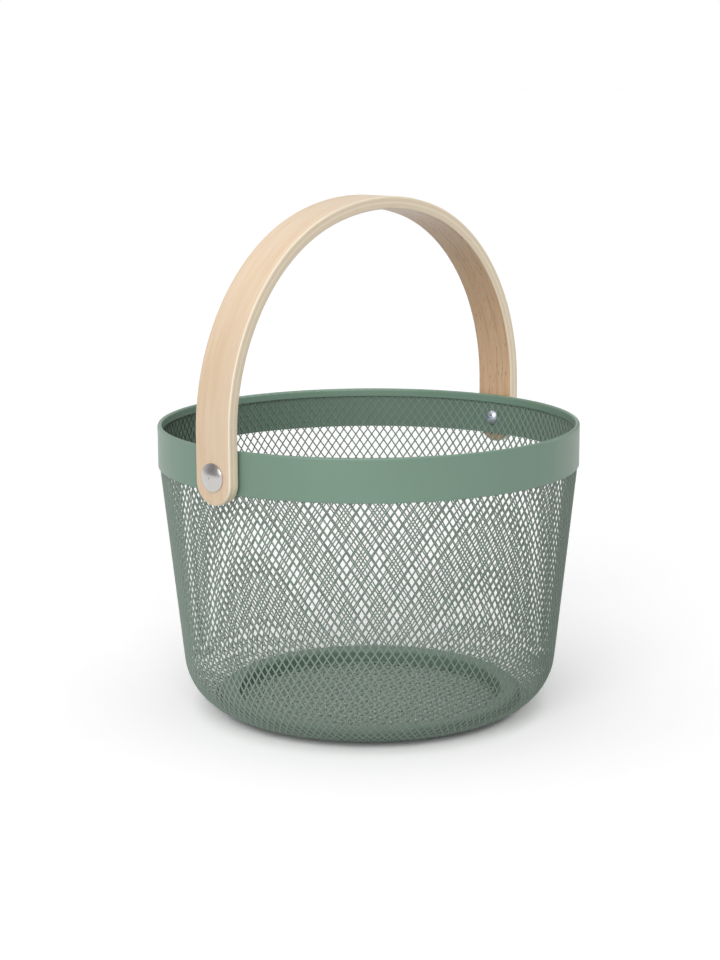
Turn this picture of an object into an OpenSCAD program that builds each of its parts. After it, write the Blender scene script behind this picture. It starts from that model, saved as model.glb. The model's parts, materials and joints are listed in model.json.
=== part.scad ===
// Round mesh basket with a sheet-steel rim band and a bent plywood handle that swings on two bolts.
// Millimetres, +Z up. The origin is the middle of the base, on the floor; the handle's axis is along X.

/* [Basket] */
// Outer diameter of the rim band
rim_d = 250; // [210:1:320]
// Height from the floor to the top of the rim
basket_h = 173.5; // [130:0.5:240]
// Lean of the mesh wall out from upright, in degrees
wall_lean = 6; // [0:0.1:9]
// Thickness of the diamond mesh
mesh_t = 0.7; // [0.5:0.05:1.2]
// Thickness of the sheet steel of the band and the base ring
sheet_t = 0.8; // [0.5:0.05:1.5]

/* [Wall openings] */
// Diamonds in one row round the wall
wall_columns = 24; // [12:1:36]
// Rows of diamonds up the wall, every second row shifted by half a diamond
wall_rows = 8; // [3:1:10]
// Width of the strands between the wall's diamonds
wall_strand = 3.4; // [2:0.1:5]
// Height of the plain foot below the lowest row
wall_plain = 12; // [8:1:24]

/* [Rim band] */
// Height of the band's outside
band_h = 25; // [20:0.5:40]
// How far the folded edge comes down inside the mesh
fold_h = 5; // [3:0.5:8]

/* [Base] */
// Radius of the wall's rounded foot, outside
foot_r = 34; // [24:0.5:40]
// How far out from its lowest point the foot stops, inside the ring's lip
foot_stop = 2; // [0:0.5:4]
// Width of the ring's flat top
ring_w = 11; // [9:0.5:18]
// Height of the ring's flat top above the floor
ring_h = 10; // [6:0.5:12]
// Outer radius of the bends along the ring's top
ring_bend = 2.4; // [1.6:0.1:3]
// Width of the lips that carry the wall and the floor mesh
lip_w = 1.5; // [1:0.1:2.5]
// Width of one diamond in the floor mesh
diamond_w = 9.4; // [8.5:0.1:16]
// Length of one diamond in the floor mesh
diamond_l = 13; // [11.5:0.1:22]
// Width of the strands between the diamonds
strand_w = 1.6; // [1:0.1:2.4]

/* [Handle] */
// Width of the handle
handle_w = 25.4; // [20:0.1:34]
// Thickness of the handle's glued plies
handle_t = 7.5; // [4:0.1:9]
// Straight length of each leg above the pivot
leg_l = 23; // [16:0.5:40]
// Rise of the arch from the straight legs to the middle of the crown's thickness
arch_rise = 120; // [100:1:150]
// Turn of each shoulder bend before the flatter crown starts, in degrees
shoulder_turn = 73; // [55:1:75]
// Length of each leg below the pivot
leg_end = 16; // [13.5:0.1:22]

/* [Pivots] */
// Height of the rim above the pivot axis
pivot_drop = 14.5; // [12:0.5:18]
// Diameter of the bolt's barrel, which the handle turns on
barrel_d = 6; // [5:0.1:8]
// Diameter of the bolt's domed head
dome_d = 16; // [12:0.5:20]
// Height of the domed head
dome_h = 3; // [2:0.1:5]
// Straight edge below the dome
dome_edge = 0.7; // [0.4:0.1:1.5]
// Diameter of the screw's thread
screw_d = 3.9; // [3:0.1:4.4]
// Length of the screw's thread
screw_l = 7; // [4:0.5:9]
// Diameter of the screw's pan head
pan_d = 9.2; // [8:0.1:12]
// Height of the screw's pan head
pan_h = 2.8; // [2:0.1:4]
// Diameter of the spacer washer
washer_d = 14; // [11:0.5:18]
// Thickness of the spacer washer
washer_t = 0.9; // [0.5:0.1:2]

/* [Hidden] */
$fn = 128;

// Clearances: between mesh and sheet, between pieces that slide, and round the barrel
mesh_play = 0.15;
pivot_play = 0.1;
bore_play = 0.1;
hole_play = 0.15;
thread_play = 0.05;
// How far the barrel stops short of the screw's head
barrel_gap = 0.3;
// Overrun of every cut
over = 1;

// Size of the cross recess in the screw's head
recess_l = 5;
recess_w = 1.1;
recess_deep = 1.5;

// Plain rim left round the diamonds of the floor mesh, beyond the ring's lip
net_border = 0.4;

// Radii from the outside in
band_r = rim_d / 2;
neck_r = band_r - sheet_t - mesh_play;
fold_r = sheet_t + mesh_play + mesh_t / 2;

// Heights
band_z = basket_h - band_h;
neck_z = basket_h - sheet_t - mesh_play;
pivot_z = basket_h - pivot_drop;

// The wall's foot: an arc that is tangent to the leaning wall, lowest at foot_in, and stops on the
// ring's outer lip at foot_end
foot_run = foot_r * (1 - sin(wall_lean)) / cos(wall_lean);
foot_in = neck_r - (band_z - sheet_t) * tan(wall_lean) - foot_run;
foot_end = foot_in + foot_stop;
foot_z = sheet_t + foot_r;

// The base ring: its inner side stands inside the foot's lower edge, and its top reaches out over the foot
hollow_r = foot_end - mesh_play - sheet_t;
ring_r = hollow_r + ring_w;

// Handle: places across the pivot axis, and the three arcs of its arch
handle_in = band_r + washer_t + pivot_play;
handle_mid = handle_in + handle_t / 2;
handle_out = handle_in + handle_t;
spring_z = pivot_z + leg_l;
crown_share = (1 - sin(shoulder_turn)) / cos(shoulder_turn);
shoulder_r = (arch_rise - handle_mid * crown_share) / (1 - crown_share);
shoulder_x = handle_mid - shoulder_r;
crown_drop = shoulder_x * tan(shoulder_turn);
crown_r = shoulder_r + shoulder_x / cos(shoulder_turn);

// Screw head's seat: the flat under it meets the round neck at the head's edge
mesh_in = neck_r - mesh_t;
seat_x = sqrt(mesh_in * mesh_in - pan_d * pan_d / 4);
barrel_end = seat_x + barrel_gap;
hole_r = barrel_d / 2 + hole_play;

// Quarter of a bent sheet in one quadrant, with its centre at the origin
module bend(turn) {
    rotate(turn)
        intersection() {
            difference() {
                circle(ring_bend);
                circle(ring_bend - sheet_t);
            }
            square(ring_bend);
        }
}

// A shaft-shaped cut along the pivot axis, right through both sides
module pivot_hole(r) {
    translate([-handle_out - over, 0, pivot_z])
        rotate([0, 90, 0])
            cylinder(r = r, h = 2 * (handle_out + over));
}

// Everything inside the wall's outline, drawn in by an inset: upright neck, leaning wall, rounded foot
module wall_fill(inset, top_z) {
    foot_mid = [foot_in, foot_z];
    polygon([
        [0, sheet_t + inset],
        [foot_in, sheet_t + inset],
        foot_mid,
        foot_mid + (foot_r - inset) * [cos(wall_lean), -sin(wall_lean)],
        [neck_r - inset, band_z],
        [neck_r - inset, top_z],
        [0, top_z]
    ]);
    translate(foot_mid)
        circle(foot_r - inset);
}

// Section of the wall, open over the ring and the floor
module wall_section() {
    difference() {
        wall_fill(0, neck_z);
        wall_fill(mesh_t, neck_z + over);
        square([foot_end, foot_z]);
    }
}

// Cuts through the wall between its plain foot and the band: rows of upright diamonds, each drawn in
// to its middle until its sides stand half a strand off the crossing lines
module wall_diamonds() {
    row_h = (band_z - wall_plain) / (wall_rows + 1);
    for (row = [1 : wall_rows], column = [1 : wall_columns]) {
        mid_z = wall_plain + row * row_h;
        mid_r = neck_r - (band_z - mid_z) * tan(wall_lean);
        half_w = PI * mid_r / wall_columns;
        open_share = 1 - wall_strand / 2 * norm([half_w, row_h]) / (half_w * row_h);
        rotate((column + row % 2 / 2) * 360 / wall_columns)
            translate([mid_r / 2, 0, mid_z])
                rotate([90, 0, 90])
                    linear_extrude(height = mid_r)
                        polygon(open_share * [[half_w, 0], [0, row_h], [-half_w, 0], [0, -row_h]]);
    }
}

module wall_mesh() {
    color("#6f8877")
        difference() {
            rotate_extrude() wall_section();
            wall_diamonds();
            pivot_hole(hole_r);
        }
}

// Section of the band: outside sheet, half-round fold over the mesh, short inside sheet
module band_section() {
    fold_mid = [band_r - fold_r, basket_h - fold_r];
    translate([band_r - sheet_t, band_z + sheet_t / 2])
        square([sheet_t, fold_mid.y - band_z - sheet_t / 2]);
    translate([band_r - sheet_t / 2, band_z + sheet_t / 2])
        circle(sheet_t / 2);
    translate([band_r - 2 * fold_r, basket_h - fold_h + sheet_t / 2])
        square([sheet_t, fold_h - fold_r - sheet_t / 2]);
    translate([band_r - 2 * fold_r + sheet_t / 2, basket_h - fold_h + sheet_t / 2])
        circle(sheet_t / 2);
    translate(fold_mid)
        intersection() {
            difference() {
                circle(fold_r);
                circle(fold_r - sheet_t);
            }
            translate([-fold_r, 0])
                square([2 * fold_r, fold_r]);
        }
}

module rim_band() {
    color("#7e9686")
        difference() {
            rotate_extrude() band_section();
            pivot_hole(hole_r);
        }
}

// Section of the ring: a channel open downwards. Its inner side stands on two lips, which carry the
// floor mesh and the wall's foot. Its top and its short outer side end just above the foot.
module ring_section() {
    side_h = ring_h - ring_bend;
    translate([hollow_r, 0])
        square([sheet_t, side_h]);
    translate([hollow_r - lip_w, 0])
        square([foot_end - hollow_r + 2 * lip_w, sheet_t]);
    translate([hollow_r + ring_bend, side_h])
        bend(90);
    intersection() {
        wall_fill(mesh_t + mesh_play, ring_h + over);
        union() {
            translate([hollow_r + ring_bend, ring_h - sheet_t])
                square([ring_w - 2 * ring_bend, sheet_t]);
            translate([ring_r - ring_bend, side_h])
                bend(0);
            translate([ring_r - sheet_t, 0])
                square([sheet_t, side_h]);
        }
    }
}

module base_ring() {
    color("#728a79")
        rotate_extrude() ring_section();
}

// Rows of upright diamonds, every second row shifted by half a diamond, where a whole one fits
module diamonds(free_r) {
    half_w = (diamond_w - strand_w) / 2;
    half_l = (diamond_l - strand_w) / 2;
    columns = ceil(free_r / diamond_w) + 1;
    rows = ceil(2 * free_r / diamond_l) + 1;
    for (row = [-rows : rows], column = [-columns : columns]) {
        middle = [(column + (row % 2 == 0 ? 0 : 1 / 2)) * diamond_w, row * diamond_l / 2];
        if (norm([abs(middle.x) + half_w, abs(middle.y)]) < free_r
            && norm([abs(middle.x), abs(middle.y) + half_l]) < free_r)
            translate(middle)
                polygon([[half_w, 0], [0, half_l], [-half_w, 0], [0, -half_l]]);
    }
}

module base_mesh() {
    color("#768f7e")
        translate([0, 0, sheet_t])
            linear_extrude(height = mesh_t)
                difference() {
                    circle(hollow_r - mesh_play);
                    diamonds(hollow_r - lip_w - net_border);
                }
}

// Everything under the arch's middle line, grown by half the plies or drawn in by it
module arch_fill(grow, low_z) {
    far = 2 * (crown_r + handle_t);
    crown_mid = [0, spring_z - crown_drop];
    below_z = min(crown_mid.y, spring_z) - over;
    turn_dir = [cos(shoulder_turn), sin(shoulder_turn)];
    translate([-handle_mid - grow, low_z])
        square([2 * (handle_mid + grow), spring_z - low_z]);
    intersection() {
        translate(crown_mid)
            circle(crown_r + grow);
        polygon([crown_mid, crown_mid + far * turn_dir, crown_mid + far * [-turn_dir.x, turn_dir.y]]);
    }
    for (side = [-1, 1])
        scale([side, 1])
            intersection() {
                translate([shoulder_x, spring_z])
                    circle(shoulder_r + grow);
                polygon([[0, below_z], crown_mid, crown_mid + far * turn_dir, [far, below_z]]);
            }
}

// Handle: a flat strip bent to the arch, its lower ends rounded, drilled for the barrels
module handle() {
    low_z = pivot_z - leg_end;
    end_z = low_z + handle_w / 2;
    color("#dcc0a0")
        difference() {
            intersection() {
                rotate([90, 0, 0])
                    linear_extrude(height = handle_w, center = true)
                        difference() {
                            arch_fill(handle_t / 2, low_z);
                            arch_fill(-handle_t / 2, low_z - over);
                        }
                union() {
                    translate([-handle_out - over, 0, end_z])
                        rotate([0, 90, 0])
                            cylinder(d = handle_w, h = 2 * (handle_out + over));
                    translate([-handle_out - over, -handle_w, end_z])
                        cube([2 * (handle_out + over), 2 * handle_w, arch_rise + leg_l + handle_w]);
                }
            }
            pivot_hole(barrel_d / 2 + bore_play);
        }
}

// Domed head with a hollow barrel, the head's underside at the origin and its dome towards +Z
module dome_bolt() {
    barrel_l = handle_out + pivot_play - barrel_end;
    cap_h = dome_h - dome_edge;
    cap_r = (dome_d * dome_d / 4 + cap_h * cap_h) / (2 * cap_h);
    difference() {
        union() {
            cylinder(d = dome_d, h = dome_edge);
            rotate_extrude()
                intersection() {
                    translate([0, dome_h - cap_r])
                        circle(cap_r);
                    translate([0, dome_edge])
                        square([dome_d / 2, cap_h]);
                }
            translate([0, 0, -barrel_l])
                cylinder(d = barrel_d, h = barrel_l);
        }
        translate([0, 0, -barrel_l - over])
            cylinder(r = screw_d / 2 + thread_play, h = screw_l + over);
    }
}

// Pan-head screw with a cross recess, the head's underside at the origin and its face towards +Z
module pivot_screw() {
    pan_r = (pan_d * pan_d / 4 + pan_h * pan_h) / (2 * pan_h);
    difference() {
        union() {
            rotate_extrude()
                intersection() {
                    translate([0, pan_h - pan_r])
                        circle(pan_r);
                    square([pan_d / 2, pan_h]);
                }
            translate([0, 0, -screw_l])
                cylinder(d = screw_d, h = screw_l);
        }
        for (turn = [45, 135])
            rotate([0, 0, turn])
                translate([-recess_l / 2, -recess_w / 2, pan_h - recess_deep])
                    cube([recess_l, recess_w, recess_deep + over]);
    }
}

// Puts a fastener that points along +Z at a place on the pivot axis, pointing out or in
module on_pivot(side, place_x, out) {
    translate([side * place_x, 0, pivot_z])
        rotate([0, side * out * 90, 0])
            children();
}

module spacer_washer(side) {
    color("#d8d8d4")
        on_pivot(side, band_r, 1)
            difference() {
                cylinder(d = washer_d, h = washer_t);
                translate([0, 0, -over])
                    cylinder(r = hole_r, h = washer_t + 2 * over);
            }
}

module dome_bolt_left() {
    color("#b9bbbd")
        on_pivot(-1, handle_out + pivot_play, 1)
            dome_bolt();
}

module dome_bolt_right() {
    color("#b9bbbd")
        on_pivot(1, handle_out + pivot_play, 1)
            dome_bolt();
}

module pivot_screw_left() {
    color("#9fa9b4")
        on_pivot(-1, seat_x, -1)
            pivot_screw();
}

module pivot_screw_right() {
    color("#9fa9b4")
        on_pivot(1, seat_x, -1)
            pivot_screw();
}

module spacer_washer_left() {
    spacer_washer(-1);
}

module spacer_washer_right() {
    spacer_washer(1);
}

wall_mesh();
rim_band();
base_ring();
base_mesh();
handle();
dome_bolt_left();
dome_bolt_right();
pivot_screw_left();
pivot_screw_right();
spacer_washer_left();
spacer_washer_right();
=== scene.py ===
"""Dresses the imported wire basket: its expanded mesh, coated sheet, bent plywood handle, bolts and studio."""

import json
import math

import bmesh
import bpy
import numpy as np
from mathutils import Matrix, Vector


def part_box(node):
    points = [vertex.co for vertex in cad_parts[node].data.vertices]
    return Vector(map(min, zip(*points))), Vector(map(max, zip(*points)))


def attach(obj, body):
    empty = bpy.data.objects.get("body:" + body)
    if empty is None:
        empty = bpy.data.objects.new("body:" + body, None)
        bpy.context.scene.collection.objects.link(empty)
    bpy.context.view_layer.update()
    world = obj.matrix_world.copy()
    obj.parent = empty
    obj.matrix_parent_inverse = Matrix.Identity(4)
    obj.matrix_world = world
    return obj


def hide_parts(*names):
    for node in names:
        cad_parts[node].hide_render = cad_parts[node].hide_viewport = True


bl_info = {
    "name": "Wire basket",
    "version": (1, 0, 0),
    "blender": (4, 5, 0),
    "location": "3D View > Sidebar > Basket",
    "description": "Builds a mesh basket with a bent plywood handle round its CAD frame",
    "category": "Object",
}

MM = 0.001

# Two faces that meet at more than this angle show an edge, on solid pieces and on the mesh's strands
SOLID_EDGE = math.radians(40)
STRAND_EDGE = math.radians(75)

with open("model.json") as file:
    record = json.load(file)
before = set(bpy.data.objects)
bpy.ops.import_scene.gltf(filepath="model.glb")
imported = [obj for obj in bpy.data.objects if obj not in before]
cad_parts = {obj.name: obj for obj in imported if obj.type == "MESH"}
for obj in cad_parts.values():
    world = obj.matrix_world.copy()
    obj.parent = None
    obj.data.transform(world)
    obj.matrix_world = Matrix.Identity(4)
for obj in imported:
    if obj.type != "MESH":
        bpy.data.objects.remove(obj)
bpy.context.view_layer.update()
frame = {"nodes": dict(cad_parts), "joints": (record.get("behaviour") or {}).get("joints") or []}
WALL_LOW, WALL_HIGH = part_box("wall_mesh")
BAND_LOW, BAND_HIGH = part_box("rim_band")
FLOOR_LOW, FLOOR_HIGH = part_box("base_mesh")
HANDLE_LOW, HANDLE_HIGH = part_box("handle")
PIVOT_Z = frame["joints"][0]["pos_m"][2]


def linear(hex_colour):
    """An sRGB hex colour as linear red, green, blue and alpha."""
    parts = [int(hex_colour[i : i + 2], 16) / 255 for i in (1, 3, 5)]
    return [c / 12.92 if c <= 0.04045 else ((c + 0.055) / 1.055) ** 2.4 for c in parts] + [1.0]


def length(name, description, millimetres):
    """A property for a size that the object's maker would change."""
    return bpy.props.FloatProperty(
        name=name, description=description, default=millimetres * MM, min=0.0, precision=5, unit="LENGTH"
    )


def colour(name, description, hex_colour):
    """A property for a colour of one of the finishes."""
    return bpy.props.FloatVectorProperty(
        name=name,
        description=description,
        default=linear(hex_colour),
        size=4,
        min=0.0,
        max=1.0,
        subtype="COLOR",
    )


def degrees(name, description, value):
    """A property for an angle, given in degrees."""
    return bpy.props.FloatProperty(
        name=name, description=description, default=math.radians(value), subtype="ANGLE"
    )


def level(name, description, value):
    """A property for a strength or a share."""
    return bpy.props.FloatProperty(name=name, description=description, default=value, min=0.0)


class BasketMeshSizes(bpy.types.PropertyGroup):
    """Sizes of the expanded mesh of the wall and the floor."""

    diamonds_round: bpy.props.IntProperty(
        name="Diamonds round", description="Diamonds in one row round the wall", default=148, min=12
    )
    strand_side: length("Side of a diamond", "Length of a strand from one crossing to the next", 4.5)
    strand_width: length("Strand width", "Width of a strand on the face of the wall's mesh", 0.8)
    strand_tilt: length("Strand tilt", "How far one edge of a wall strand stands above the other", 0.4)
    floor_strand_width: length("Floor strand width", "Width of a strand on the floor mesh's face", 1.35)
    floor_strand_tilt: length(
        "Floor strand tilt", "How far one edge of a floor strand stands above the other", 1.3
    )
    mesh_thickness: length("Mesh thickness", "Thickness of the slit sheet", 0.7)
    sheet_thickness: length("Sheet thickness", "Thickness of the band's plain sheet", 0.8)
    foot_radius: length("Foot radius", "Outside radius of the wall's rounded foot", 34.0)
    foot_stop: length("Foot stop", "How far out from its lowest point the foot stops", 2.0)
    floor_diamond_width: length("Floor diamond width", "Width of one diamond in the floor", 6.0)
    floor_diamond_length: length("Floor diamond length", "Length of one diamond in the floor", 8.2)
    wall_lean: degrees("Wall lean", "Lean of the wall out from upright", 6)
    floor_turn: degrees("Floor mesh turn", "Turn of the floor's diamonds from the handle's axis", 310)


class BasketHandleSizes(bpy.types.PropertyGroup):
    """Sizes of the bent plywood handle."""

    ply_thickness: length("Thickness", "Thickness of the glued plies", 7.5)
    leg_above_pivot: length("Leg above the pivot", "Straight length of a leg above the pivot axis", 23.0)
    edge_ease: length("Eased edge", "Radius of the sanded long edges", 1.1)
    bore: length("Bore", "Diameter of the hole that the bolt's barrel runs in", 6.2)
    shoulder_turn: degrees("Shoulder turn", "Turn of each shoulder bend before the flatter crown starts", 73)


class BasketFinishes(bpy.types.PropertyGroup):
    """Colours of the finishes, with painted shade in the ring's and painted light in the mesh's and the
    floor's.
    """

    sheet_coat: colour("Sheet coat", "Sage green powder coat on the band", "#74917f")
    # Painted shade: the ring's darker tone stands for the shadow that the mesh wall casts on it
    shaded_ring_coat: colour("Ring coat", "Sage green powder coat on the base ring, thinner and darker", "#6c8274")
    # Painted sheen: the mesh's greyer tone stands for the white surroundings reflected on its strands
    mesh_coat_and_sheen: colour("Mesh coat", "Sage green powder coat on the mesh, a little greyer", "#7f9085")
    # Painted light: the floor's lighter tone stands for the light on the floor strands' upward faces
    lit_floor_coat: colour("Floor coat", "The same coat lying thicker on the flat floor mesh", "#8b9e90")
    veneer: colour("Face veneer", "Lacquered birch on the handle's outer face", "#e5ceb2")
    inner_veneer: colour("Inner veneer", "Lacquered birch on the handle's inner face", "#dcba98")
    ply_light: colour("Light ply", "Edge of the plies whose grain runs along the handle", "#faecd4")
    ply_dark: colour("Dark ply", "Edge of the plies whose grain runs across the handle", "#f2dfc2")
    ply_inner: colour("Inner ply", "Edge of the ply at the handle's inner face", "#f4e4ca")
    fleck: colour("Fleck", "Short brown flecks of the birch", "#6f4f36")
    nickel: colour("Nickel", "Polished nickel of the bolt heads", "#c9c6c4")
    zinc: colour("Zinc", "Bright zinc plate of the screws", "#c6ccd6")
    nylon: colour("Nylon", "Natural nylon of the washers", "#e4e2da")


class BasketStudio(bpy.types.PropertyGroup):
    """The camera's place, from the fit to the photograph, and the level of the light."""

    camera_distance: length("Camera distance", "Level distance from the basket's axis to the camera", 1221.1)
    camera_height: length("Camera height", "Height of the camera above the floor", 378.54)
    camera_azimuth: degrees("Camera azimuth", "Turn of the camera round the axis", 50.1281)
    camera_tilt: degrees("Camera tilt", "How far the camera looks down", 11.1899)
    camera_yaw: degrees("Camera yaw", "Turn of the view off the axis", -0.2464)
    camera_roll: degrees("Camera roll", "Roll of the camera about its view", -0.3209)
    lens: level("Lens", "Focal length in millimetres for a picture whose long side is 36 mm", 78.08)
    fill: level("Fill", "Strength of the even light from all round", 0.35)
    fill_lean: level("Fill lean", "Share by which the fill is stronger on its bright side", 0.9)
    overhead: level("Overhead lamp", "Strength of the broad soft lamp overhead", 1.3)
    overhead_width: degrees("Overhead lamp's width", "Width of the overhead lamp as the basket sees it", 75)
    front: level("Front lamp", "Strength of the broad soft lamp beside the camera", 1.55)
    front_width: degrees("Front lamp's width", "Width of the front lamp as the basket sees it", 50)
    front_rise: degrees("Front lamp's rise", "How high above level the front lamp hangs", 28)


# Surfaces


def put_mesh(name, points, faces, edge_angle=SOLID_EDGE):
    """A piece at the origin from arrays of points and of four-cornered faces, smooth between its edges."""
    mesh = bpy.data.meshes.new(name)
    mesh.from_pydata(points.tolist(), [], faces.tolist())
    mesh.update()
    mesh.shade_smooth()
    mesh.set_sharp_from_angle(angle=edge_angle)
    piece = bpy.data.objects.new(name, mesh)
    bpy.context.scene.collection.objects.link(piece)
    return piece


def dress(piece, body, slot, material, *nodes):
    """Gives a new piece its material and its body, and hides the CAD nodes that it stands for."""
    piece.data.materials.append(material)
    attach(piece, body)
    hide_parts(*nodes)


def paint_node(node, material):
    """Gives a CAD node, whose shape stays, its material."""
    for slot in node.material_slots:
        slot.material = material


def expanded_metal(name, middle, normal, cells, width, thickness, tilt):
    """The surface of a slit and stretched sheet.

    Each cell is four crossings round one opening. The opening's corners are the cell's, drawn in to
    the cell's centre until its sides stand half a strand's width off the lines between crossings. A
    strand is then a ridge along each such line, half the thickness above the middle surface and half
    below it, that falls to a narrow upright lip at the opening. Stretching twists the strands: an
    opening's first corner lies half the tilt below the middle surface and its third one above it.
    """
    lip_share = 0.55
    least_open = 0.1
    corners = middle[cells]
    centre = corners.mean(1, keepdims=True)
    sides = np.linalg.norm(np.roll(corners, -1, 1) - corners, axis=2).sum(1)
    area = np.linalg.norm(np.cross(corners[:, 2] - corners[:, 0], corners[:, 3] - corners[:, 1]), axis=1) / 2
    inradius = 2 * area / sides
    draw_in = np.clip(1 - width / 2 / np.maximum(inradius, width / 4), least_open, 1)[:, None, None]
    opening = centre + draw_in * (corners - centre)
    rise = normal * thickness / 2
    lip = normal[cells] * thickness / 2 * lip_share
    opening = opening + normal[cells] * np.array([-tilt / 2, 0, tilt / 2, 0])[None, :, None]
    points = np.concatenate(
        [middle + rise, middle - rise, (opening + lip).reshape(-1, 3), (opening - lip).reshape(-1, 3)]
    )
    count = len(middle)
    slots = np.arange(cells.size).reshape(cells.shape)
    ring = [cells, count + cells, 2 * count + slots, 2 * count + cells.size + slots]
    ridge_out, ridge_in, lip_out, lip_in = [(index, np.roll(index, -1, 1)) for index in ring]
    strips = [
        (ridge_out[0], ridge_out[1], lip_out[1], lip_out[0]),
        (lip_out[0], lip_out[1], lip_in[1], lip_in[0]),
        (lip_in[0], lip_in[1], ridge_in[1], ridge_in[0]),
    ]
    start, end = ridge_out[0].ravel(), ridge_out[1].ravel()
    open_edge = ~np.isin(start * count + end, end * count + start)
    start, end = start[open_edge], end[open_edge]
    rim = np.stack([end, start, start + count, end + count], -1)
    faces = np.concatenate([np.stack(strip, -1).reshape(-1, 4) for strip in strips] + [rim])
    return put_mesh(name, points, faces, STRAND_EDGE)


def wall_path(sizes):
    """The wall's middle surface as arrays: distance from its top edge, radius, height and normal.

    A straight upright neck inside the band, then a straight wall that leans in downwards, then an arc
    that turns from the wall's lean almost to level.
    """
    arc_steps, path_steps = 90, 2000
    half = sizes.mesh_thickness / 2
    neck_r = WALL_HIGH.x - half
    lean = sizes.wall_lean
    arc_r = sizes.foot_radius - half
    stop_turn = math.asin(sizes.foot_stop / sizes.foot_radius)
    foot_z = WALL_LOW.z + sizes.foot_radius * math.cos(stop_turn)
    run = sizes.foot_radius * (1 - math.sin(lean)) / math.cos(lean)
    foot_x = WALL_HIGH.x - (BAND_LOW.z - WALL_LOW.z) * math.tan(lean) - run
    turn = np.linspace(-lean, stop_turn - math.pi / 2, arc_steps)
    wall_top = np.array([[neck_r, WALL_HIGH.z], [neck_r, BAND_LOW.z]])
    foot = np.stack([foot_x + arc_r * np.cos(turn), foot_z + arc_r * np.sin(turn)], -1)
    corners = np.concatenate([wall_top, foot])
    distance = np.concatenate([[0], np.cumsum(np.linalg.norm(np.diff(corners, axis=0), axis=1))])
    fine = np.linspace(0, distance[-1], path_steps)
    radius, height = (np.interp(fine, distance, corners[:, k]) for k in (0, 1))
    slope_r, slope_z = np.gradient(radius, fine), np.gradient(height, fine)
    size = np.hypot(slope_r, slope_z)
    return fine, radius, height, -slope_z / size, slope_r / size


def wall_surface(sizes):
    """Crossings of the wall's mesh: points, normals and the four crossings round each opening.

    The rows are set so that each strand between two crossings keeps one length: a row's height along
    the wall is the third side of a right triangle whose long side is that length and whose short side
    is half a diamond of the circle at that height.
    """
    count = sizes.diamonds_round
    distance, radius, height, normal_r, normal_z = wall_path(sizes)
    half_width = np.pi * radius / count
    rate = 1 / np.sqrt(sizes.strand_side**2 - half_width**2)
    row_at = np.concatenate([[0], np.cumsum((rate[1:] + rate[:-1]) / 2 * np.diff(distance))])
    rows = round(row_at[-1])
    place = np.interp(np.arange(rows + 1), row_at * rows / row_at[-1], distance)
    row, column = np.meshgrid(np.arange(rows + 1), np.arange(count), indexing="ij")
    angle = (2 * column + row % 2) * np.pi / count
    r, z, nr, nz = (np.interp(place, distance, line)[row] for line in (radius, height, normal_r, normal_z))
    points = np.stack([r * np.cos(angle), r * np.sin(angle), z], -1).reshape(-1, 3)
    normals = np.stack([nr * np.cos(angle), nr * np.sin(angle), nz], -1).reshape(-1, 3)
    row, column = row[1:-1].ravel(), column[1:-1].ravel()
    odd = row % 2
    left = row * count + column
    right = row * count + (column + 1) % count
    beside = (column + odd) % count
    above = (row - 1) * count + beside
    below = (row + 1) * count + beside
    return points, normals, np.stack([left, below, right, above], -1)


def floor_surface(sizes):
    """Crossings of the floor's mesh: rows of diamonds in a plane, with those past the rim drawn in to it."""
    radius = FLOOR_HIGH.x
    half_width, half_length = sizes.floor_diamond_width / 2, sizes.floor_diamond_length / 2
    columns, rows = (int(radius / half) + 2 for half in (half_width, half_length))
    column, row = np.meshgrid(np.arange(-columns, columns + 1), np.arange(-rows, rows + 1), indexing="ij")
    x, y = column * half_width, row * half_length
    far = np.maximum(np.hypot(x, y) / radius, 1)
    x, y = x / far, y / far
    turn = sizes.floor_turn
    height = (FLOOR_LOW.z + FLOOR_HIGH.z) / 2
    turned_x = x * math.cos(turn) - y * math.sin(turn)
    turned_y = x * math.sin(turn) + y * math.cos(turn)
    points = np.stack([turned_x, turned_y, x * 0 + height], -1)
    index = np.arange(column.size).reshape(column.shape)
    cells = np.stack([index[:-2, 1:-1], index[1:-1, :-2], index[2:, 1:-1], index[1:-1, 2:]], -1)
    inside = far <= 1
    shown = inside[:-2, 1:-1] | inside[1:-1, :-2] | inside[2:, 1:-1] | inside[1:-1, 2:]
    shown &= (column + row)[1:-1, 1:-1] % 2 == 1
    cells = cells[shown]
    used, cells = np.unique(cells, return_inverse=True)
    points = points.reshape(-1, 3)[used]
    return points, np.tile([0.0, 0.0, 1.0], (len(points), 1)), cells.reshape(-1, 4)


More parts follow.
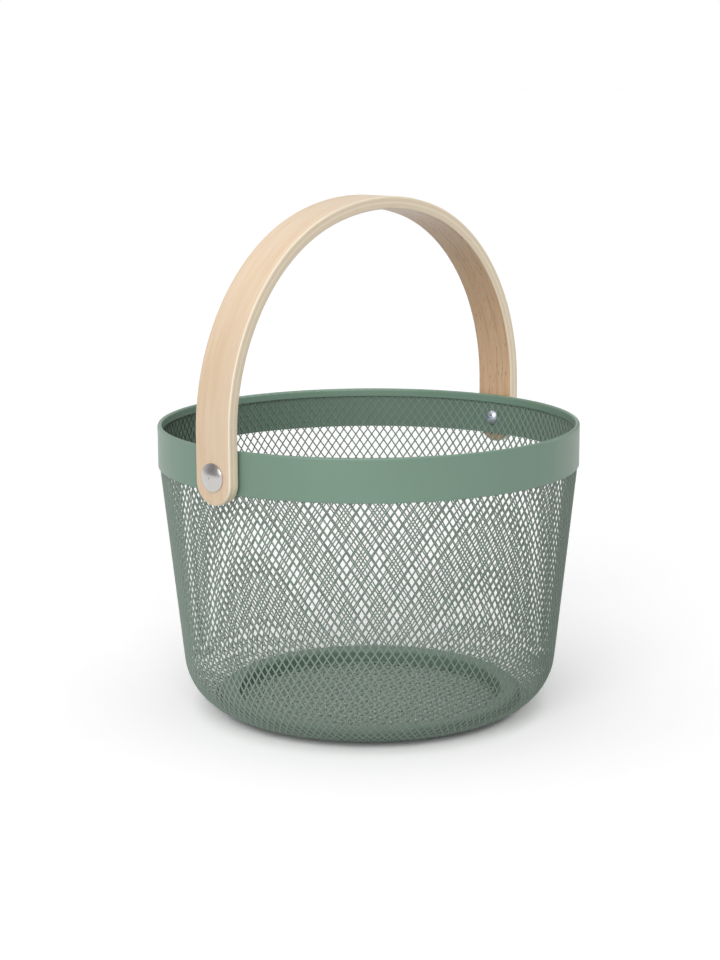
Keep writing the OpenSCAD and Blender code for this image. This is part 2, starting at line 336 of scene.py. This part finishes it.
def handle_line(place, sizes):
    """The handle's middle line: where a distance along it lies, and the direction square to it.

    Measured from the middle of the crown, an arc of the crown's radius, then an arc of the shoulder's
    radius that is tangent to it and ends upright, then a straight leg. The left side mirrors the right.
    """
    half = sizes.ply_thickness / 2
    leg_x = HANDLE_HIGH.x - half
    spring_z = PIVOT_Z + sizes.leg_above_pivot
    rise = HANDLE_HIGH.z - half - spring_z
    turn = sizes.shoulder_turn
    share = (1 - math.sin(turn)) / math.cos(turn)
    shoulder_r = (rise - leg_x * share) / (1 - share)
    shoulder_x = leg_x - shoulder_r
    crown_r = shoulder_r + shoulder_x / math.cos(turn)
    crown_z = spring_z - shoulder_x * math.tan(turn)
    crown_half = crown_r * (math.pi / 2 - turn)
    shoulder_length = shoulder_r * turn
    reach = np.abs(place)
    on_crown = np.minimum(reach, crown_half)
    on_shoulder = np.clip(reach - crown_half, 0, shoulder_length)
    on_leg = np.maximum(reach - crown_half - shoulder_length, 0)
    angle = on_crown / crown_r + on_shoulder / shoulder_r
    past = reach > crown_half
    x = np.where(past, shoulder_x + shoulder_r * np.sin(angle), crown_r * np.sin(angle))
    z = np.where(past, spring_z + shoulder_r * np.cos(angle), crown_z + crown_r * np.cos(angle)) - on_leg
    side = np.sign(place)
    middle = np.stack([x * side, z * 0, z], -1)
    square_out = np.stack([np.sin(angle) * side, z * 0, np.cos(angle)], -1)
    leg_end = spring_z - HANDLE_LOW.z
    return middle, square_out, crown_half + shoulder_length + leg_end


def handle_surface(sizes):
    """A long strip with round ends and eased edges, bent to the handle's line.

    One parameter runs round the flat strip's outline, two straight sides and two half circles. The
    other runs from the strip's spine on the outer face, over the edge's quarter rounds, to the spine
    on the inner face. The flat strip is then laid along the handle's line.
    """
    straight_steps, cap_steps, face_steps, edge_steps = 420, 41, 5, 6
    end_r = HANDLE_HIGH.y
    half = sizes.ply_thickness / 2
    ease = sizes.edge_ease
    reach = handle_line(np.zeros(1), sizes)[2]
    straight = np.linspace(-(reach - end_r), reach - end_r, straight_steps)
    cap = np.linspace(0, np.pi, cap_steps)[1:-1]
    spine = np.concatenate([straight, cap * 0 + straight[-1], straight[::-1], cap * 0 + straight[0]])
    out_s = np.concatenate([straight * 0, np.sin(cap), straight * 0, -np.sin(cap)])
    out_y = np.concatenate([straight * 0 - 1, -np.cos(cap), straight * 0 + 1, np.cos(cap)])
    quarter = np.linspace(0, np.pi / 2, edge_steps)
    face = np.linspace(0, end_r - ease, face_steps)[:-1]
    side = np.linspace(half - ease, -(half - ease), edge_steps)[1:-1]
    width = np.concatenate([face, end_r - ease + ease * np.sin(quarter), side * 0 + end_r])
    depth = np.concatenate([face * 0 + half, half - ease + ease * np.cos(quarter), side])
    width = np.concatenate([width, (end_r - ease + ease * np.sin(quarter))[::-1], face[::-1]])
    depth = np.concatenate([depth, -(half - ease + ease * np.cos(quarter))[::-1], face * 0 - half])
    along = spine[:, None] + out_s[:, None] * width
    across = out_y[:, None] * width
    through = np.broadcast_to(depth, along.shape)
    middle, square_out, _ = handle_line(along, sizes)
    points = middle + square_out * through[..., None]
    points[..., 1] = across
    around, over = along.shape
    a, b = np.meshgrid(np.arange(around), np.arange(over - 1), indexing="ij")
    corner = a * over + b
    beside = (a + 1) % around * over + b
    faces = np.stack([corner, corner + 1, beside + 1, beside], -1).reshape(-1, 4)
    return points.reshape(-1, 3), np.stack([along, across, through], -1).reshape(-1, 3), faces


def close_up(piece, gap=1e-7):
    """Merges coinciding points of a piece and turns its faces outwards."""
    build = bmesh.new()
    build.from_mesh(piece.data)
    bmesh.ops.remove_doubles(build, verts=build.verts, dist=gap)
    bmesh.ops.recalc_face_normals(build, faces=build.faces)
    build.to_mesh(piece.data)
    build.free()
    piece.data.shade_smooth()
    piece.data.set_sharp_from_angle(angle=SOLID_EDGE)


def drill(piece, diameter):
    """Drills a piece along the pivot axis, through both of its sides."""
    bore_steps = 64
    turn = np.linspace(0, 2 * np.pi, bore_steps, endpoint=False)
    ring = np.stack([turn * 0, np.cos(turn) * diameter / 2, PIVOT_Z + np.sin(turn) * diameter / 2], -1)
    reach = Vector((HANDLE_HIGH.x * 2, 0, 0))
    points = np.concatenate([ring - reach, ring + reach])
    count = len(turn)
    step = np.arange(count)
    after = (step + 1) % count
    sides = np.stack([step, after, after + count, step + count], -1).tolist()
    caps = [step[::-1].tolist(), (step + count).tolist()]
    mesh = bpy.data.meshes.new("drill")
    mesh.from_pydata(points.tolist(), [], sides + caps)
    cutter = bpy.data.objects.new("drill", mesh)
    bpy.context.scene.collection.objects.link(cutter)
    cut = piece.modifiers.new("drill", "BOOLEAN")
    cut.operation, cut.solver, cut.object = "DIFFERENCE", "EXACT", cutter
    bpy.context.view_layer.update()
    drilled = piece.evaluated_get(bpy.context.evaluated_depsgraph_get())
    done = bpy.data.meshes.new_from_object(drilled)
    piece.modifiers.clear()
    piece.data = done
    bpy.data.objects.remove(cutter)


# Materials

# Sizes of the coat's mottle, of its orange peel and of its round edge, in millimetres
MESH_COAT = {"mottle_mm": 30, "peel_mm": 0.9, "peel_depth_mm": 0.01, "roughness": 0.5, "ease_mm": 0.1}
SHEET_COAT = {"mottle_mm": 40, "peel_mm": 1.1, "peel_depth_mm": 0.012, "ease_mm": 0.4}
# Red, green and blue left in the painted shade on the band's face behind the mesh
PAINTED_SHADE_SHARE = (0.8, 0.83, 0.8)


def add_node(tree, kind, inputs=None, **settings):
    """Adds a node, sets its attributes, and sets or links its inputs by name or number."""
    made = tree.nodes.new(kind)
    for name, value in settings.items():
        setattr(made, name, value)
    for name, value in (inputs or {}).items():
        if isinstance(value, bpy.types.NodeSocket):
            tree.links.new(value, made.inputs[name])
        else:
            made.inputs[name].default_value = value
    return made


def new_material(name):
    """A material with an empty tree, its shader and its output."""
    material = bpy.data.materials.new(name)
    material.use_nodes = True
    tree = material.node_tree
    tree.nodes.clear()
    shader = add_node(tree, "ShaderNodeBsdfPrincipled")
    add_node(tree, "ShaderNodeOutputMaterial", {"Surface": shader.outputs[0]})
    return material, tree, shader


def object_place(tree):
    """The place on the object, in metres."""
    return add_node(tree, "ShaderNodeTexCoord").outputs["Object"]


def noise(tree, place, size_mm, detail):
    """Noise with lumps of the given size, as a value round one half."""
    inputs = {"Vector": place, "Scale": 1 / (size_mm * MM), "Detail": detail}
    return add_node(tree, "ShaderNodeTexNoise", inputs).outputs["Fac"]


def relief(tree, shader, height, depth_mm, **inputs):
    """Shades the surface as if it rose by a value times a depth."""
    bump = add_node(tree, "ShaderNodeBump", {"Height": height, "Distance": depth_mm * MM, **inputs})
    tree.links.new(bump.outputs[0], shader.inputs["Normal"])


def powder_coat(name, tone, mottle_mm, peel_mm, peel_depth_mm, roughness, ease_mm, shade_radius=0.0):
    """Satin powder coat on steel: an even dry sheen, a fine orange peel and soft light edges.

    Round the given radius, on the sheet's face behind the mesh, the colour is darkened as painted shade.
    """
    material, tree, shader = new_material(name)
    place = object_place(tree)
    darker, lighter = ([c * share for c in tone[:3]] + [1] for share in (0.95, 1.05))
    coat = mix(tree, noise(tree, place, mottle_mm, 2.0), darker, lighter)
    if shade_radius:
        flat = add_node(tree, "ShaderNodeVectorMath", {0: place, 1: (1, 1, 0)}, operation="MULTIPLY")
        radius = add_node(tree, "ShaderNodeVectorMath", {0: flat.outputs[0]}, operation="LENGTH")
        radius = radius.outputs["Value"]
        # A painted shade mask: 1 on the sheet's face there, fading a few tenths of a millimetre off it
        outside_it = ramp(tree, radius, shade_radius + 0.35 * MM, shade_radius + 0.2 * MM)
        inside_it = ramp(tree, radius, shade_radius - 0.5 * MM, shade_radius - 0.3 * MM)
        coat = shaded(tree, coat, PAINTED_SHADE_SHARE, both(tree, outside_it, inside_it))
    tree.links.new(coat, shader.inputs["Base Color"])
    # The coat runs thick over a cut edge and rounds it
    eased = add_node(tree, "ShaderNodeBevel", {"Radius": ease_mm * MM}, samples=4)
    relief(tree, shader, noise(tree, place, peel_mm, 1.0), peel_depth_mm, Normal=eased.outputs[0])
    shader.inputs["Roughness"].default_value = roughness
    shader.inputs["Coat Weight"].default_value = 0.2
    shader.inputs["Coat Roughness"].default_value = 0.3
    return material


def plated(name, tone, roughness, swirl_mm, swirl_depth_mm):
    """A bright plated metal: tinted mirror reflections, softened a little by fine polishing marks."""
    material, tree, shader = new_material(name)
    marks = noise(tree, object_place(tree), swirl_mm, 3.0)
    span = {"Value": marks, "To Min": roughness * 0.8, "To Max": roughness * 1.25}
    uneven = add_node(tree, "ShaderNodeMapRange", span).outputs[0]
    tree.links.new(uneven, shader.inputs["Roughness"])
    relief(tree, shader, marks, swirl_depth_mm)
    shader.inputs["Base Color"].default_value = tone
    shader.inputs["Metallic"].default_value = 1.0
    return material


def moulded_nylon(tone):
    """Moulded nylon: milky, dull and a little uneven."""
    material, tree, shader = new_material("moulded_nylon")
    grain_mm, grain_depth_mm = 0.8, 0.01
    relief(tree, shader, noise(tree, object_place(tree), grain_mm, 2.0), grain_depth_mm)
    shader.inputs["Base Color"].default_value = tone
    shader.inputs["Roughness"].default_value = 0.5
    shader.inputs["Subsurface Weight"].default_value = 0.2
    shader.inputs["Subsurface Radius"].default_value = (2 * MM, 2 * MM, 2 * MM)
    return material


def stretch(tree, place, along_mm, across_mm, through_mm):
    """The unbent place divided by a grain's length, width and depth."""
    scale = [1 / (size * MM) for size in (along_mm, across_mm, through_mm)]
    return add_node(tree, "ShaderNodeVectorMath", {0: place, 1: scale}, operation="MULTIPLY").outputs[0]


def mix(tree, factor, first, second, blend="MIX"):
    """Mixes two colours by a factor."""
    inputs = {0: factor, 6: first, 7: second}
    return add_node(tree, "ShaderNodeMix", inputs, data_type="RGBA", blend_type=blend).outputs[2]


def ramp(tree, value, low, high, out_low=0.0, out_high=1.0):
    """A smooth step of a value from low to high."""
    made = add_node(
        tree,
        "ShaderNodeMapRange",
        {"Value": value, "From Min": low, "From Max": high, "To Min": out_low, "To Max": out_high},
        interpolation_type="SMOOTHSTEP",
    )
    return made.outputs[0]


def grain(tree, place, along_mm, across_mm, through_mm, detail):
    """Noise drawn out along the grain, as a value round one half."""
    drawn = stretch(tree, place, along_mm, across_mm, through_mm)
    inputs = {"Vector": drawn, "Scale": 1.0, "Detail": detail}
    return add_node(tree, "ShaderNodeTexNoise", inputs).outputs["Fac"]


def both(tree, first, second):
    """Two values multiplied."""
    return add_node(tree, "ShaderNodeMath", {0: first, 1: second}, operation="MULTIPLY").outputs[0]


def shaded(tree, tone, share, value):
    """A colour darkened by a share of red, green and blue where a value is 1."""
    return mix(tree, value, tone, mix(tree, 1.0, tone, (*share, 1), "MULTIPLY"))


def birch_plywood(finishes, sizes):
    """Bent birch plywood under matt lacquer.

    Fine faint streaks on the outer veneer, short brown flecks and reddish streaks on the inner one,
    and on the sanded edges pale plies in turn with thin glue lines between them.
    """
    material, tree, shader = new_material("birch_plywood")
    place = add_node(tree, "ShaderNodeAttribute", attribute_name="ply_place").outputs["Vector"]
    depth = add_node(tree, "ShaderNodeSeparateXYZ", {0: place}).outputs[2]
    half = sizes.ply_thickness / 2
    inside = ramp(tree, depth, 0.1 * MM, -0.1 * MM)
    fine = grain(tree, place, along_mm=28, across_mm=0.4, through_mm=5, detail=4.0)
    broad = grain(tree, place, along_mm=60, across_mm=5, through_mm=5, detail=2.0)
    reddish = grain(tree, place, along_mm=45, across_mm=1.6, through_mm=5, detail=3.0)
    flecks = grain(tree, place, along_mm=6.5, across_mm=0.55, through_mm=5, detail=1.0)
    end_grain = grain(tree, place, along_mm=7, across_mm=2, through_mm=0.22, detail=3.0)
    # Red, green and blue left where each of them is darkest
    fine_share = (0.88, 0.83, 0.77)
    broad_share = (0.96, 0.91, 0.85)
    reddish_share = (0.88, 0.76, 0.63)
    end_grain_share = (0.94, 0.9, 0.85)
    # Faces: the streaks, then flecks that are plain inside and faint outside
    veneer = mix(tree, inside, list(finishes.veneer), list(finishes.inner_veneer))
    veneer = shaded(tree, veneer, fine_share, ramp(tree, fine, 0.42, 0.7, out_high=0.5))
    veneer = shaded(tree, veneer, broad_share, ramp(tree, broad, 0.35, 0.7))
    reddish = both(tree, inside, ramp(tree, reddish, 0.5, 0.68, out_high=0.8))
    veneer = shaded(tree, veneer, reddish_share, reddish)
    flecks = both(tree, ramp(tree, flecks, 0.66, 0.74), ramp(tree, inside, 0, 1, out_low=0.1, out_high=0.75))
    veneer = mix(tree, flecks, veneer, list(finishes.fleck))
    # Edges: the depth counted in five plies tells an along-grain ply from a cross-grain one
    span = {"Value": depth, "From Min": -half, "From Max": half, "To Max": 5.0}
    count = add_node(tree, "ShaderNodeMapRange", span).outputs[0]
    turn = add_node(tree, "ShaderNodeMath", {0: count, 1: 2.0}, operation="MODULO").outputs[0]
    edge = mix(tree, ramp(tree, turn, 0.96, 1.04), list(finishes.ply_light), list(finishes.ply_dark))
    edge = mix(tree, ramp(tree, count, 1.04, 0.96), edge, list(finishes.ply_inner))
    edge = shaded(tree, edge, end_grain_share, ramp(tree, end_grain, 0.4, 0.7, out_high=0.55))
    # Glue lines where the count is whole
    to_whole = add_node(tree, "ShaderNodeMath", {0: count, 1: 1.0}, operation="PINGPONG").outputs[0]
    edge = mix(tree, ramp(tree, to_whole, 0.06, 0.0, out_high=0.14), edge, list(finishes.fleck))
    deep = add_node(tree, "ShaderNodeMath", {0: depth}, operation="ABSOLUTE").outputs[0]
    on_face = ramp(tree, deep, half - 0.25 * MM, half - 0.05 * MM)
    tree.links.new(mix(tree, on_face, edge, veneer), shader.inputs["Base Color"])
    relief(tree, shader, fine, 0.02)
    shader.inputs["Roughness"].default_value = 0.48
    # The lacquer pales the wood where it is seen along its face
    shader.inputs["Coat Weight"].default_value = 0.5
    shader.inputs["Coat Roughness"].default_value = 0.35
    return material


# Operators


class BASKET_OT_wall(bpy.types.Operator):
    """Stretches the wall's expanded mesh from the band down to the base ring"""

    bl_idname = "basket.wall"
    bl_label = "Wall mesh"

    def execute(self, context):
        sizes = context.scene.basket_mesh
        # The mesh coat's greyer tone is painted sheen
        coat = powder_coat("powder_coated_mesh", context.scene.basket_finishes.mesh_coat_and_sheen, **MESH_COAT)
        points, normals, cells = wall_surface(sizes)
        piece = expanded_metal(
            "expanded_wall",
            points,
            normals,
            cells,
            sizes.strand_width,
            sizes.mesh_thickness,
            sizes.strand_tilt,
        )
        dress(piece, "basket", "coated_mesh", coat, "wall_mesh")
        return {"FINISHED"}


class BASKET_OT_floor(bpy.types.Operator):
    """Cuts the floor's round piece of expanded mesh"""

    bl_idname = "basket.floor"
    bl_label = "Floor mesh"

    def execute(self, context):
        sizes = context.scene.basket_mesh
        points, normals, cells = floor_surface(sizes)
        piece = expanded_metal(
            "expanded_floor",
            points,
            normals,
            cells,
            sizes.floor_strand_width,
            sizes.mesh_thickness,
            sizes.floor_strand_tilt,
        )
        # The floor coat's lighter tone is painted light
        coat = powder_coat("powder_coated_floor", context.scene.basket_finishes.lit_floor_coat, **MESH_COAT)
        dress(piece, "basket", "coated_mesh", coat, "base_mesh")
        return {"FINISHED"}


class BASKET_OT_sheet(bpy.types.Operator):
    """Coats the rim band and the base ring"""

    bl_idname = "basket.sheet"
    bl_label = "Band and ring"

    def execute(self, context):
        finishes = context.scene.basket_finishes
        # The band's inner face behind the mesh is darkened as painted shade
        behind_mesh = BAND_HIGH.x - context.scene.basket_mesh.sheet_thickness
        band_coat = powder_coat(
            "powder_coated_band", finishes.sheet_coat, roughness=0.42, shade_radius=behind_mesh, **SHEET_COAT
        )
        # The ring's darker colour is painted shade from the mesh wall
        shaded_ring_coat = powder_coat("powder_coated_ring", finishes.shaded_ring_coat, roughness=0.5, **SHEET_COAT)
        paint_node(frame["nodes"]["rim_band"], band_coat)
        paint_node(frame["nodes"]["base_ring"], shaded_ring_coat)
        return {"FINISHED"}


class BASKET_OT_handle(bpy.types.Operator):
    """Bends and drills the plywood handle"""

    bl_idname = "basket.handle"
    bl_label = "Handle"

    def execute(self, context):
        sizes = context.scene.basket_handle
        points, place, faces = handle_surface(sizes)
        piece = put_mesh("plywood_handle", points, faces)
        tag = piece.data.attributes.new("ply_place", "FLOAT_VECTOR", "POINT")
        tag.data.foreach_set("vector", place.ravel())
        close_up(piece)
        drill(piece, sizes.bore)
        wood = birch_plywood(context.scene.basket_finishes, sizes)
        dress(piece, "handle", "birch_plywood", wood, "handle")
        return {"FINISHED"}


class BASKET_OT_fastenings(bpy.types.Operator):
    """Finishes the bolts, the screws and the washers"""

    bl_idname = "basket.fastenings"
    bl_label = "Bolts, screws and washers"

    def execute(self, context):
        finishes = context.scene.basket_finishes
        nickel = plated(
            "polished_nickel", finishes.nickel, roughness=0.24, swirl_mm=0.6, swirl_depth_mm=0.0012
        )
        zinc = plated(
            "bright_zinc_plate", finishes.zinc, roughness=0.36, swirl_mm=0.4, swirl_depth_mm=0.004
        )
        nylon = moulded_nylon(finishes.nylon)
        for side in ("left", "right"):
            paint_node(frame["nodes"]["dome_bolt_" + side], nickel)
            paint_node(frame["nodes"]["pivot_screw_" + side], zinc)
            paint_node(frame["nodes"]["spacer_washer_" + side], nylon)
        return {"FINISHED"}


def matt(tree, brightness):
    """A matt white that gives back a share of the light."""
    white = (brightness, brightness, brightness, 1)
    return add_node(tree, "ShaderNodeBsdfDiffuse", {"Color": white}).outputs[0]


def white_seen(tree, seen, lit, glossy=True):
    """One shader for the camera, reflections and clear bodies, and another for the light it gives."""
    path = add_node(tree, "ShaderNodeLightPath").outputs
    watched = path["Is Camera Ray"]
    for ray in ["Is Transmission Ray"] + ["Is Glossy Ray"] * glossy:
        either = add_node(tree, "ShaderNodeMath", {0: watched, 1: path[ray]}, operation="MAXIMUM")
        watched = either.outputs[0]
    return add_node(tree, "ShaderNodeMixShader", {0: watched, 1: lit, 2: seen}).outputs[0]


class BASKET_OT_studio(bpy.types.Operator):
    """Lays the white floor and sets the soft light and the camera"""

    bl_idname = "basket.studio"
    bl_label = "Studio"

    def execute(self, context):
        studio = context.scene.basket_studio
        self.lay_floor()
        self.light(context.scene, studio)
        self.place_camera(context.scene, studio)
        context.scene.view_settings.view_transform = "Standard"
        return {"FINISHED"}

    def lay_floor(self):
        """A flat square, white to the eye, that gives back less light than it shows."""
        reach = 30.0
        below = 0.1 * MM
        seen_white, lit_white = 1.12, 0.56
        sides = [(-1, -1), (1, -1), (1, 1), (-1, 1)]
        corners = np.array([[x * reach, y * reach, -below] for x, y in sides])
        floor = put_mesh("studio_floor", corners, np.array([[0, 1, 2, 3]]))
        material = bpy.data.materials.new("matt_white_paper")
        material.use_nodes = True
        tree = material.node_tree
        tree.nodes.clear()
        shown = white_seen(tree, seen=matt(tree, seen_white), lit=matt(tree, lit_white))
        add_node(tree, "ShaderNodeOutputMaterial", {"Surface": shown})
        floor.data.materials.append(material)

    def light(self, scene, studio):
        """A broad lamp overhead, another beside the camera, and a fill that is stronger on that side."""
        camera_side = Vector((-0.868, -0.497, 0))
        backdrop_side = Vector((0.767, 0.641, 0))
        nearly_up = Vector((-0.05, 0.05, 1))
        world = bpy.data.worlds.new("studio")
        world.use_nodes = True
        tree = world.node_tree
        tree.nodes.clear()
        toward = add_node(tree, "ShaderNodeTexCoord").outputs["Generated"]
        to_lamp, to_backdrop = (
            add_node(tree, "ShaderNodeVectorMath", {0: toward, 1: way}, operation="DOT_PRODUCT")
            for way in (camera_side, backdrop_side)
        )
        low, high = studio.fill * (1 - studio.fill_lean), studio.fill * (1 + studio.fill_lean)
        span = {"Value": to_lamp.outputs["Value"], "From Min": -1.0, "To Min": low, "To Max": high}
        strength = add_node(tree, "ShaderNodeMapRange", span).outputs[0]
        lit = add_node(tree, "ShaderNodeBackground", {"Strength": strength})
        # A reflection shows the white backdrop behind the basket, and a dimmer room elsewhere
        backdrop = ramp(tree, to_backdrop.outputs["Value"], -0.2, 0.8, 0.38, 1.0)
        mirrored = add_node(tree, "ShaderNodeBackground", {"Strength": backdrop})
        glossy_ray = add_node(tree, "ShaderNodeLightPath").outputs["Is Glossy Ray"]
        choice = {0: glossy_ray, 1: lit.outputs[0], 2: mirrored.outputs[0]}
        lit = add_node(tree, "ShaderNodeMixShader", choice).outputs[0]
        seen = add_node(tree, "ShaderNodeBackground", {"Color": (1, 1, 1, 1), "Strength": 1.0}).outputs[0]
        shown = white_seen(tree, seen, lit, glossy=False)
        add_node(tree, "ShaderNodeOutputWorld", {"Surface": shown})
        scene.world = world
        front = camera_side * math.cos(studio.front_rise) + Vector((0, 0, math.sin(studio.front_rise)))
        self.hang_lamp(scene, "overhead", studio.overhead, studio.overhead_width, nearly_up)
        self.hang_lamp(scene, "front", studio.front, studio.front_width, front)

    def hang_lamp(self, scene, name, strength, width, toward):
        """A far lamp that fills a cone of the given width, seen in the given direction."""
        lamp = bpy.data.lights.new(name, "SUN")
        lamp.energy = strength
        lamp.angle = width
        hung = bpy.data.objects.new(name, lamp)
        scene.collection.objects.link(hung)
        hung.rotation_euler = toward.to_track_quat("Z", "Y").to_euler()

    def place_camera(self, scene, studio):
        """The camera at its fitted place, looking along its tilt, yaw and roll."""
        tilt, yaw, roll = studio.camera_tilt, studio.camera_yaw, studio.camera_roll
        turn = Matrix.Rotation(-studio.camera_azimuth, 3, "Z")
        ahead = Vector((math.sin(yaw), math.cos(yaw), 0))
        forward = ahead * math.cos(tilt) - Vector((0, 0, math.sin(tilt)))
        aside = Vector((math.cos(yaw), -math.sin(yaw), 0))
        upright = aside.cross(forward)
        right = math.cos(roll) * aside + math.sin(roll) * upright
        up = -math.sin(roll) * aside + math.cos(roll) * upright
        axes = [turn @ axis for axis in (right, up, -forward)]
        picture_mm = 36.0
        data = bpy.data.cameras.new("camera")
        data.lens, data.sensor_width = studio.lens, picture_mm
        data.clip_start, data.clip_end = 0.05, 100.0
        camera = bpy.data.objects.new("camera", data)
        scene.collection.objects.link(camera)
        place = turn @ Vector((0, -studio.camera_distance, studio.camera_height))
        camera.matrix_world = Matrix.Translation(place) @ Matrix(axes).transposed().to_4x4()
        scene.camera = camera


class BASKET_PT_maker(bpy.types.Panel):
    """Lists the basket's pieces and sizes"""

    bl_idname = "BASKET_PT_maker"
    bl_label = "Wire basket"
    bl_space_type = "VIEW_3D"
    bl_region_type = "UI"
    bl_category = "Basket"

    def draw(self, context):
        for operator in MAKERS:
            self.layout.operator(operator.bl_idname)
        for name in GROUPS:
            group = getattr(context.scene, name)
            for key in group.bl_rna.properties.keys():
                if key not in ("rna_type", "name"):
                    self.layout.prop(group, key)


GROUPS = {
    "basket_mesh": BasketMeshSizes,
    "basket_handle": BasketHandleSizes,
    "basket_finishes": BasketFinishes,
    "basket_studio": BasketStudio,
}
MAKERS = (
    BASKET_OT_wall,
    BASKET_OT_floor,
    BASKET_OT_sheet,
    BASKET_OT_handle,
    BASKET_OT_fastenings,
    BASKET_OT_studio,
)


def register():
    for kind in (*GROUPS.values(), *MAKERS, BASKET_PT_maker):
        bpy.utils.register_class(kind)
    for name, kind in GROUPS.items():
        setattr(bpy.types.Scene, name, bpy.props.PointerProperty(type=kind))


def unregister():
    for name in GROUPS:
        delattr(bpy.types.Scene, name)
    for kind in reversed((*GROUPS.values(), *MAKERS, BASKET_PT_maker)):
        bpy.utils.unregister_class(kind)


def main():
    """Makes every piece in order."""
    register()
    bpy.ops.basket.wall()
    bpy.ops.basket.floor()
    bpy.ops.basket.sheet()
    bpy.ops.basket.handle()
    bpy.ops.basket.fastenings()
    bpy.ops.basket.studio()


if __name__ == "__main__":
    main()
